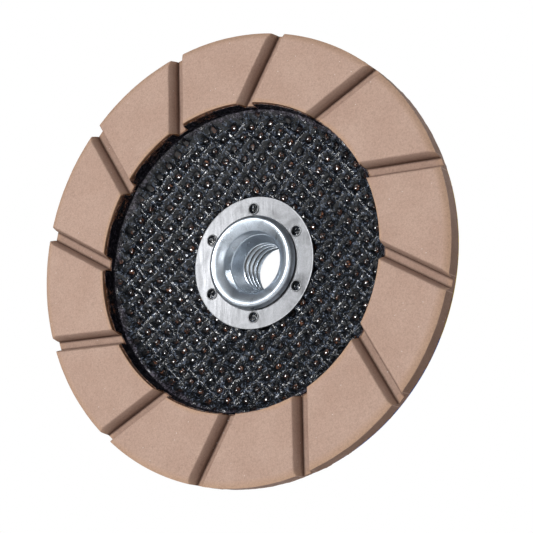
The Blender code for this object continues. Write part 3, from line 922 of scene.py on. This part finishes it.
def threaded_hub():
    """The hub: rolled lip, mouth, barrel and flange turned, then the hexagon joined and the thread cut."""
    funnel = [(8.75, MOUTH_FRONT), (9.1, 9.0), (9.6, 8.62), (10.2, 8.25), (10.8, 7.97), (11.3, 7.82)]
    roll = [(11.75, HUB_LIP_FRONT), (12.1, 7.80), (12.45, 8.0), (12.75, 8.32), (12.98, 8.75), (13.12, 9.2),
            (13.2, 9.6)]
    bore = [(THREAD_MINOR_RADIUS - 0.6, HUB_END - 2.0), (THREAD_MINOR_RADIUS - 0.6, THREAD_FRONT + 0.3),
            (THREAD_MINOR_RADIUS + 0.15, THREAD_FRONT - 0.3), (8.15, MOUTH_BACK + 0.6), (8.35, MOUTH_BACK),
            (8.6, MOUTH_BACK - 0.1), (8.7, MOUTH_FRONT + 0.6)]
    outside = [(13.15, 9.85), (BARREL_RADIUS, 9.9), (BARREL_RADIUS, FLANGE_FRONT),
               (FLANGE_RADIUS, FLANGE_FRONT), (FLANGE_RADIUS, FLANGE_BACK), (21.3, FLANGE_BACK),
               (21.0, FLANGE_BACK - 0.4), (17.6, FLANGE_BACK - 0.4), (17.3, FLANGE_BACK),
               (14.6, FLANGE_BACK), (10.5, FLANGE_BACK + 0.1), (10.5, HUB_END - 2.0)]
    core = bore + funnel + roll + outside
    hub = turned_piece("turned_threaded_hub", core[::-1], 240, 0.12)
    boolean(hub, "UNION", hexagon_nut())
    boolean(hub, "DIFFERENCE", thread_cutter())
    narrow, wide = THREAD_MINOR_RADIUS - 0.2, THREAD_MAJOR_RADIUS + 0.9
    entry = [(0.0, HUB_END - 3.0), (narrow, HUB_END - 3.0), (narrow, HUB_END - 1.2),
             (wide, HUB_END + 0.6), (0.0, HUB_END + 0.6)]
    boolean(hub, "DIFFERENCE", solid_turned("entry", entry))
    material = zinc_material("hub_zinc", (0.66, 0.73, 0.81), 0.25, 0.40, 0.78, 0.012, THREAD_FRONT)
    finish_piece(hub, material, "threaded_hub", 30.0)
    flange_ribs(material)


def flange_ribs(material):
    """Short pressed ribs in the flange's channel, as one piece."""
    made = bmesh.new()
    for i in range(FLANGE_RIB_COUNT):
        angle = i * 360.0 / FLANGE_RIB_COUNT
        centre = Vector(to_world(19.3, FLANGE_BACK - 0.32, angle))
        turn = Matrix.Rotation(-math.radians(angle), 4, "Y")
        size = Matrix.Diagonal((2.7 * MM, 0.5 * MM, 0.7 * MM, 1.0))
        bmesh.ops.create_cube(made, size=1.0, matrix=Matrix.Translation(centre) @ turn @ size)
    piece = piece_from("hub_flange_ribs", made)
    soften(piece, 0.16, 3)
    finish_piece(piece, material, None, 40.0)


# ---------------------------------------------------------------- studio

def aim(thing, position, target):
    """Places a lamp or camera at a position, in millimetres, looking at a target, without roll."""
    thing.location = Vector(position) * MM
    direction = (Vector(target) - Vector(position)).normalized()
    thing.rotation_euler = direction.to_track_quat("-Z", "Y").to_euler()


def area_light(name, position, size, power):
    """A round white light of a diameter in millimetres, aimed at the wheel."""
    data = bpy.data.lights.new(name, "AREA")
    data.shape = "DISK"
    data.size = size * MM
    data.energy = power
    light = bpy.data.objects.new(name, data)
    bpy.context.scene.collection.objects.link(light)
    aim(light, position, (0.0, FACE_Y, 0.0))


def studio():
    """Pale floor, white surroundings and soft lights."""
    reach = STUDIO_FLOOR_HALF_SIZE * MM
    mesh = bpy.data.meshes.new("studio_floor")
    corners = [(-reach, -reach, 0), (reach, -reach, 0), (reach, reach, 0), (-reach, reach, 0)]
    mesh.from_pydata(corners, [], [(0, 1, 2, 3)])
    floor = new_piece("studio_floor", mesh)
    floor.location.z = -STUDIO_FLOOR_DEPTH * MM
    mesh.materials.append(Nodes("studio_floor").surface((0.86, 0.86, 0.86), 0.9))

    world = bpy.data.worlds.new("studio")
    bpy.context.scene.world = world
    world.use_nodes = True
    nodes, links = world.node_tree.nodes, world.node_tree.links
    background = nodes["Background"]
    background.inputs["Color"].default_value = (1.0, 1.0, 1.0, 1.0)
    background.inputs["Strength"].default_value = 1.0
    soft = nodes.new("ShaderNodeBackground")
    soft.inputs["Strength"].default_value = WORLD_STRENGTH
    place = nodes.new("ShaderNodeTexCoord")
    noise = nodes.new("ShaderNodeTexNoise")
    noise.inputs["Scale"].default_value = 1.6
    ramp = nodes.new("ShaderNodeValToRGB")
    ramp.color_ramp.elements[0].position = 0.38
    ramp.color_ramp.elements[0].color = (0.25, 0.27, 0.30, 1.0)
    ramp.color_ramp.elements[1].position = 0.6
    ramp.color_ramp.elements[1].color = (1.0, 1.0, 1.0, 1.0)
    links.new(place.outputs["Generated"], noise.inputs["Vector"])
    links.new(noise.outputs["Fac"], ramp.inputs["Fac"])
    links.new(ramp.outputs["Color"], soft.inputs["Color"])
    path = nodes.new("ShaderNodeLightPath")
    mix = nodes.new("ShaderNodeMixShader")
    links.new(path.outputs["Is Camera Ray"], mix.inputs["Fac"])
    links.new(soft.outputs["Background"], mix.inputs[1])
    links.new(background.outputs["Background"], mix.inputs[2])
    links.new(mix.outputs["Shader"], nodes["World Output"].inputs["Surface"])

    for light in SOFT_LIGHTS:
        area_light(*light)
    for number, position in enumerate(GLINT_POSITIONS):
        area_light(f"glint_{number + 1}", position, GLINT_SIZE, GLINT_POWER)


def camera():
    """The view of the large wheel: from the right of the working face and a little below it."""
    data = bpy.data.cameras.new("camera")
    data.sensor_width = 36.0
    data.lens = CAMERA_LENS
    data.clip_start = 0.01
    seen = bpy.data.objects.new("camera", data)
    bpy.context.scene.collection.objects.link(seen)
    centre = Vector(CAMERA_TARGET)
    azimuth = math.radians(CAMERA_AZIMUTH)
    elevation = math.radians(CAMERA_ELEVATION)
    away = Vector((
        math.sin(azimuth) * math.cos(elevation),
        -math.cos(azimuth) * math.cos(elevation),
        math.sin(elevation),
    ))
    aim(seen, centre + away * CAMERA_DISTANCE, centre)
    bpy.context.scene.camera = seen


bpy.context.scene.view_settings.view_transform = "Standard"
camera()
studio()
ceramic_ring()
front_cloth()
inner_layers()
paper_label()
rear_plate()
front_washer()
threaded_hub()
